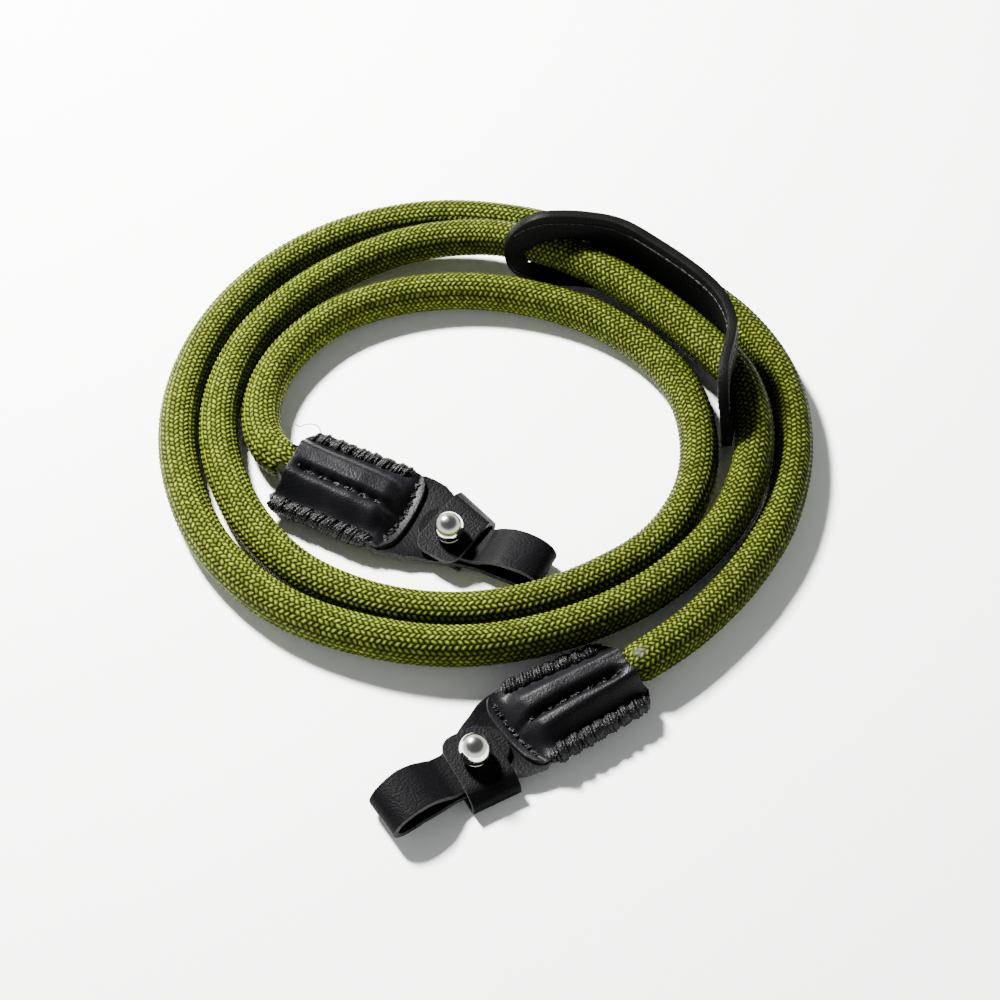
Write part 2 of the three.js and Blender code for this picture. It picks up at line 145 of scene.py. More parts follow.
def linear(hex_colour, alpha=True):
    """An sRGB hex colour as linear values"""
    values = [int(hex_colour[k:k + 2], 16) / 255 for k in (1, 3, 5)]
    values = [v / 12.92 if v <= 0.04045 else ((v + 0.055) / 1.055) ** 2.4 for v in values]
    return (*values, 1.0) if alpha else tuple(values)


def smoothstep(low, high, x):
    """Rises smoothly from 0 at low to 1 at high"""
    t = min(max((x - low) / (high - low), 0), 1)
    return t * t * (3 - 2 * t)


def read(table, x):
    """Linear reading of rows of place and value"""
    if x <= table[0][0]:
        return table[0][1]
    for (x0, y0), (x1, y1) in zip(table, table[1:]):
        if x <= x1:
            return y0 + (y1 - y0) * (x - x0) / (x1 - x0)
    return table[-1][1]


def corner_inset(distance, radius):
    """How much narrower a sheet is, at a distance from an end with round corners"""
    if distance >= radius:
        return 0
    return radius - math.sqrt(max(radius ** 2 - (radius - max(distance, 0)) ** 2, 0))


class Line:
    """A smooth line through chosen points, read by distance from its start"""

    def __init__(self, points, power=0.25, steps=24):
        ends = [Vector(p) for p in points]
        ends = [2 * ends[0] - ends[1], *ends, 2 * ends[-1] - ends[-2]]
        self.points = []
        for a, b, c, d in zip(ends, ends[1:], ends[2:], ends[3:]):
            da, db, dc = ((q - p).length_squared ** power for p, q in ((a, b), (b, c), (c, d)))
            start = ((b - a) / da - (c - a) / (da + db) + (c - b) / db) * db
            stop = ((c - b) / db - (d - b) / (db + dc) + (d - c) / dc) * db
            for k in range(steps):
                t = k / steps
                square = 3 * (c - b) - 2 * start - stop
                cube = 2 * (b - c) + start + stop
                self.points.append(b + start * t + square * t ** 2 + cube * t ** 3)
        self.points.append(ends[-2])
        self.marks = [0.0]
        for p, q in zip(self.points, self.points[1:]):
            self.marks.append(self.marks[-1] + (q - p).length)
        self.length = self.marks[-1]
        self.last = 0

    def at(self, distance):
        distance = min(max(distance, 0), self.length)
        if self.marks[self.last] > distance:
            self.last = 0
        while self.last < len(self.marks) - 2 and self.marks[self.last + 1] < distance:
            self.last += 1
        k = self.last
        share = (distance - self.marks[k]) / (self.marks[k + 1] - self.marks[k])
        return self.points[k].lerp(self.points[k + 1], share)

    def direction(self, distance, reach=0.2):
        return (self.at(distance + reach) - self.at(distance - reach)).normalized()


def place_of(fitting):
    """From a fitting's own place, mouth at its origin and tip along +X, to the frame's"""
    x, y = fitting["mouth"]
    return Matrix.Translation((x, y, 0)) @ Matrix.Rotation(fitting["turn"], 4, "Z")


def grid(rows, columns, at):
    """A bmesh grid with each vertex at at(row share, column share), and these shares as its UVs"""
    bm = bmesh.new()
    bmesh.ops.create_grid(bm, x_segments=rows, y_segments=columns, size=0.5)
    uv = bm.loops.layers.uv.new("UVMap")
    for face in bm.faces:
        for loop in face.loops:
            loop[uv].uv = (loop.vert.co.x + 0.5, loop.vert.co.y + 0.5)
    for vert in bm.verts:
        vert.co = at(vert.co.x + 0.5, vert.co.y + 0.5)
    return bm


def piece(name, bm, materials, place=Matrix(), nodes=()):
    """Turns a bmesh in millimetres into a finished object that rides on the frame"""
    bm.transform(Matrix.Scale(0.001, 4) @ place)
    mesh = bpy.data.meshes.new(name)
    bm.to_mesh(mesh)
    bm.free()
    for material in materials:
        mesh.materials.append(material)
    mesh.polygons.foreach_set("use_smooth", [True] * len(mesh.polygons))
    obj = bpy.data.objects.new(name, mesh)
    bpy.context.scene.collection.objects.link(obj)
    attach(obj, "root")
    if nodes:
        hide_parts(*nodes)
    return obj


def thicken(obj, thickness, offset, edge_round=0.22, edge_material=1):
    """Gives a sheet of leather its thickness, with cut edges of their own finish, a little rounded"""
    wall = obj.modifiers.new("thickness", "SOLIDIFY")
    wall.thickness = thickness / 1000
    wall.offset = offset
    wall.use_even_offset = True
    wall.material_offset_rim = edge_material
    rim = obj.modifiers.new("rounded edge", "BEVEL")
    rim.width = edge_round / 1000
    rim.segments = 2
    rim.limit_method = "ANGLE"
    rim.angle_limit = math.radians(50)
    rim.harden_normals = False


def bead(bm, start, end, thickness, sides=6, rings=5):
    """A short plump stitch from start to end"""
    start, end = Vector(start), Vector(end)
    along = end - start
    turn = along.to_track_quat("Z", "Y").to_matrix().to_4x4()
    size = Matrix.Diagonal((thickness / 2, thickness / 2, along.length / 2, 1))
    place = Matrix.Translation((start + end) / 2) @ turn @ size
    bmesh.ops.create_uvsphere(bm, u_segments=sides, v_segments=rings, radius=1, matrix=place)


def tuft(bm, chance, middle, spread, count, thickness):
    """A knot of short stitch ends lying across each other"""
    for _ in range(count):
        along, across = chance.uniform(-1, 1) * spread[0], chance.uniform(-1, 1) * spread[1]
        place = Vector(middle) + Vector((along, across, chance.uniform(-0.1, 0.25)))
        turn = chance.uniform(-1.1, 1.1)
        reach = Vector((math.cos(turn), math.sin(turn), chance.uniform(-0.25, 0.25)))
        reach = reach * chance.uniform(0.5, 0.95)
        bead(bm, place - reach, place + reach, thickness * chance.uniform(0.8, 1.2))


def tube(bm, centres, radius, sides):
    """A closed tube through the given centres; radius(k) is read at each"""
    rows = len(centres) - 1
    normal = Vector((0, 0, 1))
    frames = []
    for k, centre in enumerate(centres):
        along = (centres[min(k + 1, rows)] - centres[max(k - 1, 0)]).normalized()
        normal = (normal - along * normal.dot(along)).normalized()
        frames.append((centre, normal, along.cross(normal)))
    verts = bmesh.ops.create_grid(bm, x_segments=rows, y_segments=sides, size=0.5)["verts"]
    for vert in verts:
        k = round((vert.co.x + 0.5) * rows)
        angle = 2 * math.pi * (round((vert.co.y + 0.5) * sides) % sides) / sides
        centre, up, side = frames[k]
        vert.co = centre + radius(k) * (up * math.cos(angle) + side * math.sin(angle))
    bmesh.ops.remove_doubles(bm, verts=verts, dist=1e-5)
    bmesh.ops.holes_fill(bm, edges=[e for e in bm.edges if e.is_boundary])


# Materials

def node(material, kind, inputs=None, **settings):
    """Adds a node with its settings, and values or links for its inputs"""
    added = material.node_tree.nodes.new(kind)
    for key, value in settings.items():
        setattr(added, key, value)
    for key, value in (inputs or {}).items():
        if isinstance(value, bpy.types.NodeSocket):
            material.node_tree.links.new(value, added.inputs[key])
        else:
            added.inputs[key].default_value = value
    return added


def blank(name):
    """A new material with its shader, and that shader"""
    material = bpy.data.materials.new(name)
    material.use_nodes = True
    return material, material.node_tree.nodes["Principled BSDF"]


def ramp(material, factor, stops):
    """A colour ramp with the given positions and colours"""
    added = node(material, "ShaderNodeValToRGB", {"Fac": factor})
    elements = added.color_ramp.elements
    while len(elements) < len(stops):
        elements.new(0.5)
    for element, (position, colour) in zip(elements, stops):
        element.position = position
        element.color = colour
    return added.outputs["Color"]


def braided_polyester(painted_shade_gap, yarn_colour, crown):
    """Spun polyester yarn, plaited: plump short floats catch the light, with painted shade in the deep dark
    gaps between them and a painted highlight on their crowns
    """
    material, shader = blank("braided polyester")
    coordinates = node(material, "ShaderNodeTexCoord")
    wander = node(material, "ShaderNodeTexNoise", {
        "Vector": coordinates.outputs["Object"], "Scale": 500.0, "Detail": 1.0})
    yarn = node(material, "ShaderNodeTexNoise", {
        "Vector": coordinates.outputs["Object"], "Scale": 2600.0, "Detail": 2.0})
    # the UV map counts columns of stitches across and stitches along
    counted = node(material, "ShaderNodeSeparateXYZ", {"Vector": coordinates.outputs["UV"]})
    column = node(material, "ShaderNodeMath", {0: counted.outputs["X"]}, operation="FLOOR")
    odd = node(material, "ShaderNodeMath", {0: column.outputs["Value"], 1: 2.0}, operation="MODULO")
    offset = node(material, "ShaderNodeMath", {
        0: odd.outputs["Value"], 1: 0.5, 2: counted.outputs["Y"]}, operation="MULTIPLY_ADD")
    stitch = node(material, "ShaderNodeMath", {
        0: wander.outputs["Fac"], 1: 0.5, 2: offset.outputs["Value"]}, operation="MULTIPLY_ADD")
    number = node(material, "ShaderNodeMath", {0: stitch.outputs["Value"]}, operation="FLOOR")
    which = node(material, "ShaderNodeCombineXYZ", {
        "X": column.outputs["Value"], "Y": number.outputs["Value"]})
    chance = node(material, "ShaderNodeTexWhiteNoise", {
        "Vector": which.outputs["Vector"]}, noise_dimensions="2D")
    across = node(material, "ShaderNodeMath", {0: counted.outputs["X"], 1: 0.5}, operation="PINGPONG")
    along = node(material, "ShaderNodeMath", {0: stitch.outputs["Value"], 1: 0.5}, operation="PINGPONG")
    plump = node(material, "ShaderNodeMath", {0: across.outputs["Value"], 1: 0.4}, operation="POWER")
    short = node(material, "ShaderNodeMath", {0: along.outputs["Value"], 1: 0.85}, operation="POWER")
    float_height = node(material, "ShaderNodeMath", {
        0: plump.outputs["Value"], 1: short.outputs["Value"]}, operation="MULTIPLY")
    fibrous = node(material, "ShaderNodeMath", {
        0: yarn.outputs["Fac"], 1: 0.16, 2: float_height.outputs["Value"]}, operation="MULTIPLY_ADD")
    # the float's height picks the colour: painted shade in the gaps, the yarn's own colour between, and a
    # painted highlight on the crowns
    plait_with_painted_light = ramp(material, fibrous.outputs["Value"], (
        (0.13, (*painted_shade_gap, 1.0)), (0.28, (*yarn_colour, 1.0)), (0.55, (*crown, 1.0))))
    shade = ramp(material, chance.outputs["Value"], ((0.0, linear("#b4b4a4")), (1.0, linear("#ffffff"))))
    mixed = node(material, "ShaderNodeMix", {"Factor": 1.0}, data_type="RGBA", blend_type="MULTIPLY")
    links = material.node_tree.links
    links.new(plait_with_painted_light, mixed.inputs[6])
    links.new(shade, mixed.inputs[7])
    # a rubbed patch with broken, greyed yarn
    away = node(material, "ShaderNodeVectorMath", {
        0: coordinates.outputs["Object"], 1: tuple(v / 1000 for v in ROPE_SCUFF)}, operation="DISTANCE")
    ragged = node(material, "ShaderNodeMath", {
        0: yarn.outputs["Fac"], 1: 0.004, 2: away.outputs["Value"]}, operation="MULTIPLY_ADD")
    rubbed = node(material, "ShaderNodeMapRange", {
        "Value": ragged.outputs["Value"], "From Min": 0.0026, "From Max": 0.0042,
        "To Min": 0.75, "To Max": 0.0})
    greyed = node(material, "ShaderNodeMix", {"Factor": rubbed.outputs["Result"]}, data_type="RGBA")
    links.new(mixed.outputs[2], greyed.inputs[6])
    greyed.inputs[7].default_value = linear("#4c4c42")
    relief = node(material, "ShaderNodeBump", {
        "Height": fibrous.outputs["Value"], "Strength": 1.0, "Distance": 0.0009})
    links.new(greyed.outputs[2], shader.inputs["Base Color"])
    links.new(relief.outputs["Normal"], shader.inputs["Normal"])
    shader.inputs["Roughness"].default_value = 0.5
    shader.inputs["Specular IOR Level"].default_value = 0.04
    shader.inputs["Specular Tint"].default_value = (*crown, 1.0)
    return material


def grained_leather(name, colour, grain, depth, roughness, gloss):
    """Black dyed cowhide: pebbled grain of the given size in millimetres, under a soft waxed sheen"""
    material, shader = blank(name)
    coordinates = node(material, "ShaderNodeTexCoord")
    wander = node(material, "ShaderNodeTexNoise", {
        "Vector": coordinates.outputs["Object"], "Scale": 600 / grain, "Detail": 2.0})
    bent = node(material, "ShaderNodeMix", {"Factor": 0.0006 * grain}, data_type="VECTOR")
    pebbles = node(material, "ShaderNodeTexVoronoi", {
        "Vector": bent.outputs[1], "Scale": 1000 / grain, "Smoothness": 0.6}, feature="SMOOTH_F1")
    pores = node(material, "ShaderNodeTexNoise", {
        "Vector": coordinates.outputs["Object"], "Scale": 3500.0, "Detail": 3.0})
    wear = node(material, "ShaderNodeTexNoise", {
        "Vector": coordinates.outputs["Object"], "Scale": 120.0, "Detail": 4.0})
    hide = node(material, "ShaderNodeBump", {
        "Height": pebbles.outputs["Distance"], "Strength": 0.8, "Distance": depth / 1000}, invert=True)
    skin = node(material, "ShaderNodeBump", {
        "Height": pores.outputs["Fac"], "Strength": 0.25, "Distance": 0.00006,
        "Normal": hide.outputs["Normal"]})
    tone = ramp(material, wear.outputs["Fac"], (
        (0.3, linear(colour)), (0.75, tuple(1.6 * c for c in linear(colour)[:3]) + (1.0,))))
    dullness = node(material, "ShaderNodeMapRange", {
        "Value": wear.outputs["Fac"], "From Min": 0.3, "From Max": 0.7,
        "To Min": roughness - 0.06, "To Max": roughness + 0.08})
    links = material.node_tree.links
    links.new(coordinates.outputs["Object"], bent.inputs[4])
    links.new(wander.outputs["Color"], bent.inputs[5])
    links.new(tone, shader.inputs["Base Color"])
    links.new(dullness.outputs["Result"], shader.inputs["Roughness"])
    links.new(skin.outputs["Normal"], shader.inputs["Normal"])
    shader.inputs["Specular IOR Level"].default_value = gloss
    return material


def cut_leather_edge(colour, share):
    """The cut through the hide: pale fibres, of which a share shows through the black dye"""
    material, shader = blank("cut leather edge")
    coordinates = node(material, "ShaderNodeTexCoord")
    fibres = node(material, "ShaderNodeTexNoise", {
        "Vector": coordinates.outputs["Object"], "Scale": 1800.0, "Detail": 3.0})
    pale = (*(share * c for c in colour), 1.0)
    tone = ramp(material, fibres.outputs["Fac"], ((0.35, linear("#141415")), (0.65, pale)))
    rough = node(material, "ShaderNodeBump", {
        "Height": fibres.outputs["Fac"], "Strength": 0.6, "Distance": 0.0002})
    links = material.node_tree.links
    links.new(tone, shader.inputs["Base Color"])
    links.new(rough.outputs["Normal"], shader.inputs["Normal"])
    shader.inputs["Roughness"].default_value = 0.75
    shader.inputs["Specular IOR Level"].default_value = 0.3
    return material


def waxed_thread(colour):
    """Twisted polyester thread drawn through black wax: dark, with small bright glints"""
    material, shader = blank("waxed thread")
    coordinates = node(material, "ShaderNodeTexCoord")
    twist = node(material, "ShaderNodeTexNoise", {
        "Vector": coordinates.outputs["Object"], "Scale": 2600.0, "Detail": 2.0})
    ply = node(material, "ShaderNodeBump", {
        "Height": twist.outputs["Fac"], "Strength": 0.9, "Distance": 0.0004})
    material.node_tree.links.new(ply.outputs["Normal"], shader.inputs["Normal"])
    shader.inputs["Base Color"].default_value = linear(colour)
    shader.inputs["Roughness"].default_value = 0.38
    shader.inputs["Specular IOR Level"].default_value = 0.16
    return material


def polished_nickel(colour):
    """Nickel plate polished on a wheel: mirror-like, with a faint haze of fine scratches"""
    material, shader = blank("polished nickel")
    coordinates = node(material, "ShaderNodeTexCoord")
    haze = node(material, "ShaderNodeTexNoise", {
        "Vector": coordinates.outputs["Object"], "Scale": 1400.0, "Detail": 4.0})
    dullness = node(material, "ShaderNodeMapRange", {
        "Value": haze.outputs["Fac"], "To Min": 0.1, "To Max": 0.22})
    material.node_tree.links.new(dullness.outputs["Result"], shader.inputs["Roughness"])
    shader.inputs["Base Color"].default_value = linear(colour)
    shader.inputs["Metallic"].default_value = 1.0
    return material


def studio_paper(colour):
    """Matt white background paper"""
    material, shader = blank("studio paper")
    shader.inputs["Base Color"].default_value = (*colour, 1.0)
    shader.inputs["Roughness"].default_value = 0.9
    return material


# What a user would change

def colour_setting(name, description, hex_colour):
    return bpy.props.FloatVectorProperty(
        name=name, description=description, size=3, subtype="COLOR", min=0, max=1,
        default=linear(hex_colour, alpha=False))


def length_setting(name, description, default, low, high):
    return bpy.props.FloatProperty(
        name=name, description=description, default=default, min=low, max=high,
        subtype="DISTANCE", unit="LENGTH")


class StrapRopeSettings(bpy.types.PropertyGroup):
    diameter: length_setting(
        "Diameter", "Thickness of the rope over the crowns of its yarn", 0.010, 0.004, 0.02)
    pitch: length_setting(
        "Stitch length", "Length along the rope of one plaited stitch", 0.00148, 0.0005, 0.005)
    depth: length_setting("Braid depth", "How deep the gaps between the yarns are", 0.0004, 0, 0.002)
    lean: bpy.props.FloatProperty(
        name="Lean", default=0.22, min=0, max=1, subtype="FACTOR",
        description="How far a float leans over half its column, as a share of the stitch length")
    columns: bpy.props.IntProperty(
        name="Columns", description="Columns of stitches round the rope, an even number",
        default=24, min=4, max=32)
    # Gap is painted shade for the gaps between the floats, and Crown is a painted highlight for where the
    # yarn stands proud
    painted_shade_gap_colour: colour_setting("Gap", "Colour of the deep gaps between the floats", "#0c0e04")
    yarn_colour: colour_setting("Yarn", "Colour of the yarn", "#3c4610")
    painted_highlight_crown_colour: colour_setting("Crown", "Colour of the yarn where it stands proud", "#838f2f")


class StrapLeatherSettings(bpy.types.PropertyGroup):
    strap_grain: bpy.props.FloatProperty(
        name="Strap grain", description="Size of the strap leather's pebbles, in millimetres",
        default=0.5, min=0.1, max=5)
    cover_grain: bpy.props.FloatProperty(
        name="Cover grain", description="Size of the cover leather's pebbles, in millimetres",
        default=0.45, min=0.1, max=5)
    thread: length_setting("Thread", "Thickness of the overcast thread", 0.0008, 0.0003, 0.003)
    edge_colour: colour_setting(
        "Cut edge", "Colour of the pale fibres in the leather's cut edges", "#5a5a59")


class StrapStageSettings(bpy.types.PropertyGroup):
    key_power: bpy.props.FloatProperty(
        name="Key light", description="Power of the large soft light", default=55.0, min=0, unit="POWER")
    sky: bpy.props.FloatProperty(
        name="Surroundings", description="Brightness of the studio's walls", default=3.2, min=0)
    floor_colour: colour_setting("Floor", "Colour of the background paper", "#fbfbfa")


# The pieces

class STRAP_OT_stage(bpy.types.Operator):
    """Make the camera, the pale floor and the soft studio light"""
    bl_idname = "strap.stage"
    bl_label = "Make Stage"

    def execute(self, context):
        scene = context.scene
        settings = scene.strap_stage
        self.camera(scene)
        floor_mesh = bmesh.new()
        bmesh.ops.create_grid(floor_mesh, x_segments=1, y_segments=1, size=3000)
        floor_mesh.transform(Matrix.Scale(0.001, 4))
        mesh = bpy.data.meshes.new("floor")
        floor_mesh.to_mesh(mesh)
        floor_mesh.free()
        mesh.materials.append(studio_paper(settings.floor_colour))
        floor = bpy.data.objects.new("floor", mesh)
        scene.collection.objects.link(floor)
        scene.world = self.surroundings(settings.sky)
        self.light(scene, "key", (-330, 400, 500), 110, settings.key_power, (1.0, 0.985, 0.96))
        return {"FINISHED"}

    def surroundings(self, brightness):
        """A room that is bright low down all round and dim overhead"""
        world = bpy.data.worlds.new("studio")
        world.use_nodes = True
        direction = node(world, "ShaderNodeTexCoord")
        up = node(world, "ShaderNodeSeparateXYZ", {"Vector": direction.outputs["Generated"]})
        tone = ramp(world, up.outputs["Z"], (
            (0.0, (0.5, 0.53, 0.5, 1.0)), (0.3, (0.48, 0.51, 0.49, 1.0)), (0.6, (0.05, 0.05, 0.055, 1.0)),
            (1.0, (0.03, 0.03, 0.033, 1.0))))
        background = world.node_tree.nodes["Background"]
        world.node_tree.links.new(tone, background.inputs["Color"])
        background.inputs["Strength"].default_value = brightness
        return world

    def camera(self, scene):
        data = bpy.data.cameras.new("camera")
        data.sensor_fit = "HORIZONTAL"
        data.sensor_width = 36
        data.lens = 72
        data.clip_start = 0.01
        camera = bpy.data.objects.new("camera", data)
        scene.collection.objects.link(camera)
        distance, elevation = 0.5, math.radians(52)
        camera.location = (-0.002, 0.010 - distance * math.cos(elevation), distance * math.sin(elevation))
        camera.rotation_euler = (math.pi / 2 - elevation, 0, 0)
        scene.camera = camera

    def light(self, scene, name, place, size, power, colour):
        data = bpy.data.lights.new(name, "AREA")
        data.size = size / 1000
        data.energy = power
        data.color = colour
        light = bpy.data.objects.new(name, data)
        light.location = Vector(place) / 1000
        light.rotation_euler = (-light.location).to_track_quat("-Z", "Y").to_euler()
        scene.collection.objects.link(light)


class STRAP_OT_rope(bpy.types.Operator):
    """Make the braided rope: plump slanted floats in columns that lean left and right by turns"""
    bl_idname = "strap.rope"
    bl_label = "Make Rope"

    samples = 2  # vertices along each stitch
    lifts = {"crown": 1.0, "dip": 0.2, "side": 0.5}  # height of the float's parts over the gaps
    squeezed = 0.74  # thickness inside a sleeve, against the free rope's
    flattened = 0.86  # height where the rope enters a sleeve, against its width

    def execute(self, context):
        settings = context.scene.strap_rope
        line = Line(ROPE_ROUTE)
        pitch = settings.pitch * 1000
        columns = settings.columns
        rings = round(line.length / pitch * self.samples)
        step = line.length / rings
        frames = self.frames(line, rings)
        around = 2 * columns
        bm = bmesh.new()
        bmesh.ops.create_grid(bm, x_segments=rings, y_segments=around, size=0.5)
        uv = bm.loops.layers.uv.new("UVMap")
        for face in bm.faces:
            for loop in face.loops:
                loop[uv].uv = (
                    (loop.vert.co.y + 0.5) * columns,
                    (loop.vert.co.x + 0.5) * rings / self.samples)
        radius = settings.diameter * 500
        depth = settings.depth * 1000
        slant = settings.lean * pitch
        for vert in bm.verts:
            i = round((vert.co.x + 0.5) * rings)
            j = round((vert.co.y + 0.5) * around) % around
            column, middle = divmod(j, 2)
            odd = column % 2
            if middle:
                lift = self.lifts["crown" if (i + odd) % 2 else "dip"]
                shift = 0
            else:
                lift = self.lifts["side"]
                shift = slant if odd else -slant
            place = i * step + shift
            centre, across, up = self.frame_at(frames, place / step)
            angle = 2 * math.pi * j / around
            uneven = 0.07 * noise.noise(Vector((i * 0.37, j * 0.7, 3.1)))
            spread = (radius - depth * (1 - lift) + uneven) * self.pressing(place, line.length)
            flat = self.flattening(place, line.length)
            vert.co = centre + spread * (across * math.cos(angle) + up * (math.sin(angle) * flat))
        bmesh.ops.remove_doubles(bm, verts=bm.verts, dist=1e-4)
        bmesh.ops.holes_fill(bm, edges=[e for e in bm.edges if e.is_boundary])
        bmesh.ops.recalc_face_normals(bm, faces=bm.faces)
        yarn = braided_polyester(settings.painted_shade_gap_colour, settings.yarn_colour, settings.painted_highlight_crown_colour)
        rope = piece("braided_rope", bm, [yarn], nodes=["rope"])
        path = [tuple(line.at(k * line.length / 700) / 1000) for k in range(701)]
        return {"FINISHED"}

    def frames(self, line, rings):
        """Centres with their across and up directions, which never twist"""
        found = []
        across = None
        for k in range(rings + 1):
            distance = line.length * k / rings
            along = line.direction(distance)
            if across is None:
                across = along.cross(Vector((0, 0, 1)))
            across = (across - along * across.dot(along)).normalized()
            found.append((line.at(distance), across, across.cross(along)))
        return found

    def frame_at(self, frames, k):
        """The frame at a place between two of them"""
        k = min(max(k, 0), len(frames) - 1)
        low = min(int(k), len(frames) - 2)
        return tuple(a.lerp(b, k - low) for a, b in zip(frames[low], frames[low + 1]))

    def pressing(self, place, length):
        """The rope is squeezed thinner inside a sleeve"""
        return self.squeezed + (1 - self.squeezed) * smoothstep(2.5, 6, min(place, length - place))

    def flattening(self, place, length):
        """The rope is pressed flatter where it enters a sleeve"""
        return self.flattened + (1 - self.flattened) * smoothstep(2, 14, min(place, length - place))


class STRAP_OT_sleeve_covers(bpy.types.Operator):
    """Make the leather covers sewn over the rope's ends, with their stitches"""
    bl_idname = "strap.sleeve_covers"
    bl_label = "Make Sleeve Covers"

    def execute(self, context):
        settings = context.scene.strap_leather
        leather = grained_leather("smooth cover leather", "#060608", settings.cover_grain, 0.09, 0.44, 0.07)
        edge = cut_leather_edge(settings.edge_colour, 0.15)
        thread = waxed_thread("#060607")
        chance = random.Random(5)
        for end, fitting in FITTINGS.items():
            place = place_of(fitting)
            run = run_of(fitting)
            bm = grid(104, 92, lambda i, j: self.at(fitting, run, i, j))
            cover = piece(f"{end}_cover", bm, [leather, edge], place,
                          [f"{end}_sleeve_cover"])
            thicken(cover, COVER_THICKNESS, -1)
            stitches = bmesh.new()
            self.groove_stitches(stitches, fitting, run, chance)
            self.front_stitches(stitches, fitting, run, chance)
            piece(f"{end}_cover_stitches", stitches, [thread], place)
        return {"FINISHED"}

    def groove_stitches(self, bm, fitting, run, chance):
        """Stitches that hold the groove down between the swellings"""
        count, start = 7, 4.2
        for k in range(count):
            x = start + STITCH_SPACING * k + chance.uniform(-0.4, 0.4)
            y = read(fitting["groove"], x)
            z = cover_top(fitting, run, x, y) + 0.15
            tuft(bm, chance, (x, y + read(fitting["sway"], x), z), (0.9, 0.35), 6, 0.62)

    def front_stitches(self, bm, fitting, run, chance):
        """The row of stitches that shuts the sleeve's front"""
        count, margin = 8, 4.2
        x = fitting["sleeve"] - FRONT_ROW
        reach = cover_half_width(fitting, fitting["sleeve"]) - margin
        for k in range(count):
            y = (2 * k / (count - 1) - 1) * reach
            z = cover_top(fitting, run, x, y) + 0.1
            place = (x + self.bow(fitting, x, y), y + read(fitting["sway"], x), z)
            tuft(bm, chance, place, (0.35, 0.6), 5, 0.6)

    def bow(self, fitting, x, y):
        """How far the cover's front edge bows out past its straight cut"""
        return (0.8 - 0.007 * (y + 3) ** 2) * smoothstep(0.7, 0.97, x / fitting["sleeve"])

    def at(self, fitting, run, i, j):
        """A point of the cover's upper face: share i from mouth to front, share j from right to left"""
        length = fitting["sleeve"]
        x = 0.2 + i * (length - 0.2)
        side = 2 * j - 1
        inset = corner_inset(length - x, FRONT_CORNER_RADIUS) + corner_inset(x, MOUTH_CORNER_RADIUS)
        y = side * (cover_half_width(fitting, x) - inset)
        wrinkle = noise.noise(Vector((x * 0.22, y * 0.5, fitting["reach"])))
        crease = 0.1 * wrinkle * (1 - smoothstep(0.5, 0.9, i))
        gathers = 0.05 * math.sin(y * 3.1) * math.exp(-x / 3) * (1 - side ** 2)
        z = cover_top(fitting, run, x, y) + crease + gathers
        # the mouth's edge is drawn back over the rope
        back = (1 - smoothstep(0, 8, x)) * (1.6 * (1 - side ** 4) + fitting["skewed"] * (1 - side) / 2)
        return Vector((x + back + self.bow(fitting, x, y), y + read(fitting["sway"], x), z))


def sleeve_half_width(fitting, x):
    """From the middle to the inner side of the overcast thread, and in front of it to the leather's edge"""
    length = fitting["sleeve"]
    mouth, front = fitting["width"]
    return read((
        (0, mouth * MOUTH_HALF_WIDTH), (0.8 * length, front * FRONT_HALF_WIDTH),
        ((SEAM_END + 0.01) * length, front * FRONT_HALF_WIDTH),
        (FRONT_START * length, front * PLATE_HALF_WIDTH)), x)


def cover_half_width(fitting, x):
    """From the middle to the cover's own edge, which lies hidden inside the thread as far as that runs"""
    inside = 1 - smoothstep(SEAM_END, FRONT_START, x / fitting["sleeve"])
    return sleeve_half_width(fitting, x) + SEAM_MARGIN * inside


def plate_lift(fitting, x, side):
    """How far the plate's sewn edges rise above its middle"""
    full = SLEEVE_EDGE_HEIGHT - PLATE_THICKNESS / 2
    rise = full * (1 - smoothstep(0.8 * fitting["sleeve"], fitting["stud"][0], x))
    return rise * min(abs(side), 1) ** 2.2


def strap_line(fitting):
    """The middle of the base strap's thickness, seen from its side"""
    half = PLATE_THICKNESS / 2
    tip = fitting["reach"] - half
    stud = fitting["stud"][0]
    length = fitting["sleeve"]
    sleeve = (0.4, half), (0.35 * length, half + 0.02), (0.8 * length, half + 0.16)
    through_keeper = (stud - 6.8, LOWER_RUN), (stud, LOWER_RUN), (stud + 7, LOWER_RUN)
    loop_floor = (stud + 12, half + 0.35), (stud + 16, half + 0.1), (tip - 4.6, half + 0.1)
    loop_tip = (tip - 1.3, half + 1), (tip, LOOP_HEIGHT / 2 + 0.1), (tip - 1.2, LOOP_HEIGHT - 1.2)
    loop_roof = (
        (tip - 4.6, LOOP_HEIGHT), (tip - 10, LOOP_HEIGHT - 0.3), (stud + 11, UPPER_RUN + 1.5),
        (stud + 8, UPPER_RUN + 0.15))
    back = (stud, UPPER_RUN), (stud - 6, UPPER_RUN), (stud - 8.8, UPPER_RUN + 0.2)
    run = (*sleeve, *through_keeper, *loop_floor, *loop_tip, *loop_roof, *back)
    return Line([(x, z, 0) for x, z in run], power=0)


def run_of(fitting):
    """Rows of place and height of the plate's middle under the sleeve"""
    line = strap_line(fitting)
    points = [line.at(0.5 * k) for k in range(84)]
    return [(point.x, point.y) for point in points]


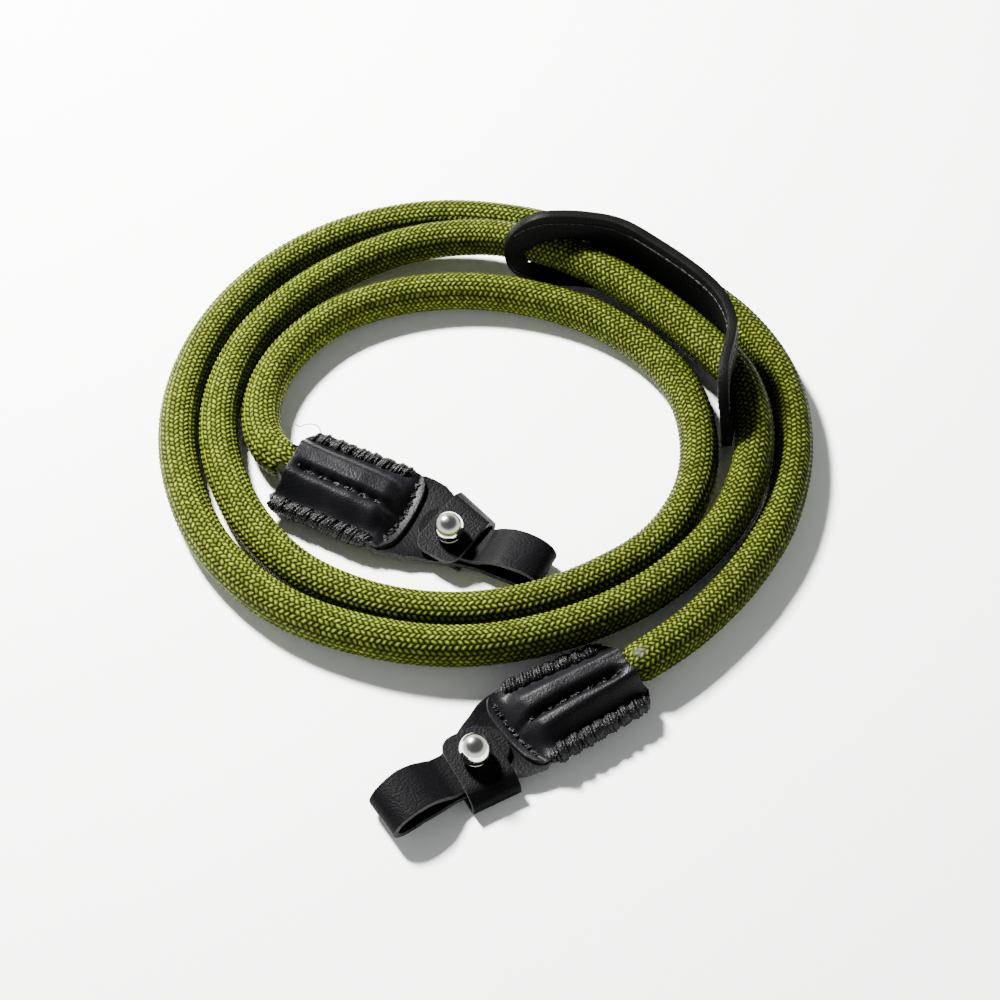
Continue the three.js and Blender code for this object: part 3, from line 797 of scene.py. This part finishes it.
def cover_top(fitting, run, x, y):
    """Height of the cover's upper face: two swellings over the rope's end with a groove sewn down between,
    and in front of them a flat rim on the plate, behind a row of stitches"""
    length = fitting["sleeve"]
    share = x / length
    level = SLEEVE_EDGE_HEIGHT + PLATE_THICKNESS / 2 + CLEARANCE + COVER_THICKNESS
    side = min(abs(y) / sleeve_half_width(fitting, x), 1)
    plate = read(run, x) + plate_lift(fitting, x, side) + PLATE_THICKNESS / 2
    front = smoothstep(0.8, FRONT_START, share)
    edge = level + (plate + 0.15 + COVER_THICKNESS - level) * front
    crown = read(SWELLING_HEIGHTS, share)
    fall = 1 - smoothstep(0.78, 0.96, share)
    shoulder = 1 - smoothstep(0.42, 1.02, side)
    off = y - read(fitting["groove"], x)
    groove = GROOVE_DEPTH * smoothstep(0.02, 0.2, share) * math.exp(-((off / GROOVE_SPREAD) ** 2))
    pull = math.cos(x * math.pi / STITCH_SPACING) ** 2
    stitch = 0.4 * smoothstep(0.1, 0.2, share) * math.exp(-((off / 0.9) ** 2)) * pull
    row = 0.3 * math.exp(-(((x - length + FRONT_ROW) / 0.6) ** 2))
    return edge + (crown - edge - groove - stitch) * fall * shoulder - row


class STRAP_OT_edge_threads(bpy.types.Operator):
    """Make the thick overcast thread along the sleeves' long edges"""
    bl_idname = "strap.edge_threads"
    bl_label = "Make Edge Threads"

    steps = 18  # places along each turn of the thread
    strands = ((34, 0), (23, 2.4))  # turns of each strand along the edge, and the angle it starts at
    crossings = 200  # short lengths of thread over them
    bundle = 2.3  # middle of a bunch to its outside

    def execute(self, context):
        thickness = context.scene.strap_leather.thread * 1000
        thread = waxed_thread("#050506")
        chance = random.Random(11)
        for end, fitting in FITTINGS.items():
            for word, side in (("left", 1), ("right", -1)):
                bm = bmesh.new()
                for turns, phase in self.strands:
                    count = turns * self.steps
                    centres = [
                        self.at(fitting, side, k / count, 2 * math.pi * k / self.steps + phase, thickness)
                        for k in range(count + 1)]
                    tube(bm, centres, lambda k: thickness / 2 * (1 + 0.15 * math.sin(k * 1.3)), 6)
                self.crossing_ends(bm, fitting, side, chance, thickness)
                piece(f"{end}_{word}_edge_thread", bm, [thread], place_of(fitting),
                      [f"{end}_{word}_seam"])
        self.loose_end(thread)
        return {"FINISHED"}

    def at(self, fitting, side, share, angle, thickness):
        """A place on the thread, which bunches up where several turns share a hole"""
        length = fitting["sleeve"]
        start = 0.04 if side > 0 else 0.07
        x = length * (start + (SEAM_END + 0.01 - start) * share)
        bunch = abs(math.sin(math.pi * x / 3.4 + 0.9 * noise.noise(Vector((x * 0.3, side * 9, 1))))) ** 0.8
        rough = 0.3 * noise.noise(Vector((x * 1.3, side * 5, angle * 0.6)))
        ends = 0.6 + 0.4 * smoothstep(0, 0.05, share) * (1 - smoothstep(0.95, 1, share))
        tall = (self.bundle * (0.76 + 0.36 * bunch) + rough) * ends - thickness / 2
        wide = (self.bundle * (0.8 + 0.24 * bunch) + rough) * ends - thickness / 2
        middle = side * (sleeve_half_width(fitting, x) + 1.1)
        return Vector((
            x + 0.8 * math.sin(angle + side),
            middle + side * wide * math.cos(angle) + read(fitting["sway"], x),
            SLEEVE_EDGE_HEIGHT + PLATE_THICKNESS / 2 + 0.4 + tall * math.sin(angle)))

    def crossing_ends(self, bm, fitting, side, chance, thickness):
        """Short lengths of thread that cross the even turns, made apart because that is quicker"""
        ends = bmesh.new()
        for _ in range(self.crossings):
            share, angle = chance.uniform(0.02, 0.98), chance.uniform(-0.6, math.pi + 0.6)
            low = self.at(fitting, side, share, angle, 0.5)
            high = self.at(fitting, side, share + chance.uniform(-0.035, 0.035), angle + 0.7, 0.5)
            bead(ends, low, high, thickness * chance.uniform(0.6, 0.9))
        mesh = bpy.data.meshes.new("crossing_ends")
        ends.to_mesh(mesh)
        ends.free()
        bm.from_mesh(mesh)
        bpy.data.meshes.remove(mesh)

    def loose_end(self, thread):
        """One stray end of thread at the inner sleeve's mouth"""
        line = Line([(2.6, 12.6, 5.2), (0.8, 13.9, 5.4), (-1.4, 13.7, 5.2), (-2.6, 12.8, 5.0),
                     (-3.3, 11.9, 5.1), (-4.6, 12.2, 5.0)])
        bm = bmesh.new()
        tube(bm, [line.at(line.length * k / 40) for k in range(41)], lambda k: 0.13, 5)
        piece("loose_thread", bm, [thread], place_of(FITTINGS["inner"]))


class STRAP_OT_base_straps(bpy.types.Operator):
    """Make the base straps: plate under the sleeve, narrow strap, and its folded loop"""
    bl_idname = "strap.base_straps"
    bl_label = "Make Base Straps"

    def execute(self, context):
        settings = context.scene.strap_leather
        leather = grained_leather("pebbled strap leather", "#050506", settings.strap_grain, 0.12, 0.5, 0.02)
        edge = cut_leather_edge(settings.edge_colour, 0.2)
        for end, fitting in FITTINGS.items():
            line = strap_line(fitting)
            outline = self.outline(fitting, line.length)

            def at(i, j):
                distance = i * line.length
                point = line.at(distance)
                corner = corner_inset(line.length - distance, STRAP_HALF_WIDTH - 0.4)
                half = read(outline, distance) - corner
                side = 2 * j - 1
                sewn = min(sleeve_half_width(fitting, distance), half)
                rise = plate_lift(fitting, distance, side * half / sewn)
                return Vector((point.x, side * half + read(fitting["sway"], point.x), point.y + rise))

            bm = grid(220, 24, at)
            strap = piece(f"{end}_strap", bm, [leather, edge], place_of(fitting),
                          [f"{end}_base_strap"])
            thicken(strap, PLATE_THICKNESS, 0)
        return {"FINISHED"}

    def outline(self, fitting, length):
        """Half width along the leather, as far as the narrow strap and over its loop"""
        stud, front, sleeve = fitting["stud"][0], fitting["width"][1], fitting["sleeve"]
        tip = fitting["reach"] - PLATE_THICKNESS / 2
        return (
            (0, cover_half_width(fitting, 0) - MOUTH_CORNER_RADIUS),
            (1, cover_half_width(fitting, 0) - 1.3),
            (MOUTH_CORNER_RADIUS, cover_half_width(fitting, MOUTH_CORNER_RADIUS)),
            (SEAM_END * sleeve, cover_half_width(fitting, SEAM_END * sleeve)),
            (FRONT_START * sleeve, front * PLATE_HALF_WIDTH),
            (stud - 8.5, front * (PLATE_HALF_WIDTH - 0.9)), (stud - 6, front * (PLATE_HALF_WIDTH - 2.2)),
            (stud, 7.5), (stud + 5, 6.1), (stud + 10, STRAP_HALF_WIDTH + 0.4), (tip, STRAP_HALF_WIDTH),
            (tip + 10, STRAP_HALF_WIDTH + 0.6), (length - 16, STRAP_HALF_WIDTH + 0.3),
        )


class STRAP_OT_keepers(bpy.types.Operator):
    """Make the keepers, which wrap round the straps and button on the studs"""
    bl_idname = "strap.keepers"
    bl_label = "Make Keepers"

    def execute(self, context):
        settings = context.scene.strap_leather
        grain = settings.strap_grain
        leather = grained_leather("pebbled keeper leather", "#050506", grain, 0.12, 0.48, 0.03)
        edge = cut_leather_edge(settings.edge_colour, 0.45)
        half = KEEPER_THICKNESS / 2
        over = KEEPER_UNDERSIDE + half
        for end, fitting in FITTINGS.items():
            fold = fitting["fold"]
            under = (-4.6, half), (0, half), (fold - 2.8, half + 0.05)
            bend = (
                (fold - 0.9, half + 0.5), (fold - half, half + 1.4), (fold - 0.9, half + 2.6),
                (fold - 2.4, over - 0.7))
            top = (fold - 4, over - 0.05), (2, over), (-3, over), (half - KEEPER_REACH, over)
            line = Line([(y, z, 0) for y, z in (*under, *bend, *top)], power=0)

            def at(i, j):
                distance = i * line.length
                point = line.at(distance)
                width = KEEPER_WIDTH / 2 - corner_inset(line.length - distance, KEEPER_CORNER_RADIUS)
                across = (2 * j - 1) * width
                slope = fitting["slant"] * smoothstep(0.3 * fold, fold - 1, point.x)
                return Vector((-across, point.x + slope * across, point.y))

            bm = grid(150, 28, at)
            x, y = fitting["stud"]
            skew = Matrix.Rotation(fitting["skew"], 4, "Z")
            place = place_of(fitting) @ Matrix.Translation((x, y, 0)) @ skew
            keeper = piece(f"{end}_keeper_strap", bm, [leather, edge], place,
                           [f"{end}_keeper"])
            thicken(keeper, KEEPER_THICKNESS, 0)
        return {"FINISHED"}


class STRAP_OT_studs(bpy.types.Operator):
    """Make the ball studs: screw head, post, seat and ball, turned in one"""
    bl_idname = "strap.studs"
    bl_label = "Make Ball Studs"

    def execute(self, context):
        nickel = polished_nickel("#cfccc6")
        radius = BALL_DIAMETER / 2
        post, head = POST_DIAMETER / 2, SCREW_HEAD_DIAMETER / 2
        seat = KEEPER_TOP + 0.05
        start = math.asin(BALL_NECK)
        centre = KEEPER_TOP + CLEARANCE + radius * math.cos(math.asin(BALL_SEAT))
        screw_head = (0, 0), (head - 0.2, 0), (head, 0.2), (head, 0.7), (head - 0.3, 1.0)
        collar = (2.9, seat), (3.0, seat + 0.15), (2.7, seat + 0.4), (2.2, seat + 0.55)
        profile = [*screw_head, (post, 1.0), (post, seat), *collar]
        arcs = 28
        for k in range(arcs + 1):
            angle = start + (math.pi - start) * k / arcs
            out = radius * math.sin(angle) if k < arcs else 0
            profile.append((out, centre - radius * math.cos(angle)))
        for end, fitting in FITTINGS.items():
            bm = bmesh.new()
            verts = [bm.verts.new((x, 0, z)) for x, z in profile]
            edges = [bm.edges.new(pair) for pair in zip(verts, verts[1:])]
            bmesh.ops.spin(bm, geom=verts + edges, axis=(0, 0, 1), cent=(0, 0, 0), steps=48,
                           angle=2 * math.pi, use_merge=True)
            bmesh.ops.remove_doubles(bm, verts=bm.verts, dist=1e-4)
            bmesh.ops.recalc_face_normals(bm, faces=bm.faces)
            x, y = fitting["stud"]
            piece(f"{end}_stud", bm, [nickel], place_of(fitting) @ Matrix.Translation((x, y, 0)),
                  [f"{end}_ball_stud"])
        return {"FINISHED"}


class STRAP_OT_shoulder_pad(bpy.types.Operator):
    """Make the shoulder pad: a leather wall on its long edge that the rope runs through"""
    bl_idname = "strap.shoulder_pad"
    bl_label = "Make Shoulder Pad"

    def execute(self, context):
        leather = grained_leather("pad leather", "#050505", 0.5, 0.08, 0.45, 0.02)
        thread = waxed_thread("#0b0b0c")
        line = Line([(x, y, 0) for x, y in PAD_ROUTE])
        bm = bmesh.new()
        bmesh.ops.create_grid(bm, x_segments=220, y_segments=44, size=0.5)
        for vert in bm.verts:
            vert.co = self.wall(line, vert.co.x + 0.5, vert.co.y + 0.5, 0)
        bmesh.ops.recalc_face_normals(bm, faces=bm.faces)
        pad = piece("leather_pad", bm, [leather], nodes=["shoulder_pad"])
        thicken(pad, PAD_THICKNESS, 0, edge_round=0.9, edge_material=0)
        self.cut_holes(pad)
        stitches = bmesh.new()
        for side in (1, -1):
            for share, height in self.stitch_places():
                a = self.wall(line, share, height, side * (PAD_THICKNESS / 2 + 0.02))
                b = self.wall(line, share + 1.9 / line.length, height, side * (PAD_THICKNESS / 2 + 0.02))
                bead(stitches, a, b, 0.55)
        piece("pad_stitches", stitches, [thread])
        return {"FINISHED"}

    def wall(self, line, share, height, offset):
        """A point of the wall: share along it, height from 0 to 1 across it, offset from its middle"""
        t = (1 - math.cos(math.pi * share)) / 2
        half = PAD_HEIGHT / 2
        reach = max(half - corner_inset(min(t, 1 - t) * line.length, half), 0.3)
        rise = (2 * height - 1) * reach
        point, along = line.at(t * line.length), line.direction(t * line.length)
        lean = PAD_LEAN * smoothstep(0.55, 0.85, t)
        out = offset - lean * rise
        return Vector((point.x - along.y * out, point.y + along.x * out, half + rise))

    def stitch_places(self):
        """Share along the pad and height across it of each stitch"""
        found = []
        for k in range(6, PAD_STITCHES - 6):
            found.append((k / PAD_STITCHES, 0.9))
            found.append((k / PAD_STITCHES, 0.1))
        return found

    def cut_holes(self, pad):
        """Cuts the pad with a smooth tube a little thicker than the rope"""
        route = Line(ROPE_ROUTE)
        near = [k for k, p in enumerate(route.points) if p.z > 10 and p.x > 2]
        centres = [route.points[k] for k in range(near[0] - 8, near[-1] + 8, 4)]
        cutter_mesh = bmesh.new()
        tube(cutter_mesh, centres, lambda k: PAD_HOLE_RADIUS, 28)
        cutter_mesh.transform(Matrix.Scale(0.001, 4))
        bmesh.ops.recalc_face_normals(cutter_mesh, faces=cutter_mesh.faces)
        mesh = bpy.data.meshes.new("hole_cutter")
        cutter_mesh.to_mesh(mesh)
        cutter_mesh.free()
        cutter = bpy.data.objects.new("hole_cutter", mesh)
        bpy.context.scene.collection.objects.link(cutter)
        cut = pad.modifiers.new("rope holes", "BOOLEAN")
        cut.operation = "DIFFERENCE"
        cut.object = cutter
        cut.solver = "EXACT"
        with bpy.context.temp_override(object=pad, active_object=pad):
            for modifier in list(pad.modifiers):
                bpy.ops.object.modifier_apply(modifier=modifier.name)
        bpy.data.objects.remove(cutter)


class STRAP_OT_dress_cores(bpy.types.Operator):
    """Give the rope's flattened ends inside the sleeves the rope's own finish"""
    bl_idname = "strap.dress_cores"
    bl_label = "Dress Rope Cores"

    def execute(self, context):
        yarn = bpy.data.materials["braided polyester"]
        for end in FITTINGS:
            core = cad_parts[f"{end}_rope_core"]
            core.data.materials.clear()
            core.data.materials.append(yarn)
        return {"FINISHED"}


class STRAP_PT_panel(bpy.types.Panel):
    """Lists what the strap is made of"""
    bl_idname = "STRAP_PT_panel"
    bl_label = "Camera Strap"
    bl_space_type = "VIEW_3D"
    bl_region_type = "UI"
    bl_category = "Camera Strap"

    def draw(self, context):
        layout = self.layout
        for group in (context.scene.strap_rope, context.scene.strap_leather, context.scene.strap_stage):
            box = layout.box()
            for name in group.__annotations__:
                box.prop(group, name)
        for operator in OPERATORS:
            layout.operator(operator.bl_idname)


OPERATORS = (
    STRAP_OT_stage, STRAP_OT_rope, STRAP_OT_sleeve_covers, STRAP_OT_edge_threads, STRAP_OT_base_straps,
    STRAP_OT_keepers, STRAP_OT_studs, STRAP_OT_shoulder_pad, STRAP_OT_dress_cores,
)
CLASSES = (StrapRopeSettings, StrapLeatherSettings, StrapStageSettings, *OPERATORS, STRAP_PT_panel)


def register():
    for item in CLASSES:
        bpy.utils.register_class(item)
    bpy.types.Scene.strap_rope = bpy.props.PointerProperty(type=StrapRopeSettings)
    bpy.types.Scene.strap_leather = bpy.props.PointerProperty(type=StrapLeatherSettings)
    bpy.types.Scene.strap_stage = bpy.props.PointerProperty(type=StrapStageSettings)


def unregister():
    del bpy.types.Scene.strap_stage
    del bpy.types.Scene.strap_leather
    del bpy.types.Scene.strap_rope
    for item in reversed(CLASSES):
        bpy.utils.unregister_class(item)


def main():
    register()
    bpy.ops.strap.stage()
    bpy.ops.strap.rope()
    bpy.ops.strap.sleeve_covers()
    bpy.ops.strap.edge_threads()
    bpy.ops.strap.base_straps()
    bpy.ops.strap.keepers()
    bpy.ops.strap.studs()
    bpy.ops.strap.shoulder_pad()
    bpy.ops.strap.dress_cores()


if __name__ == "__main__":
    main()
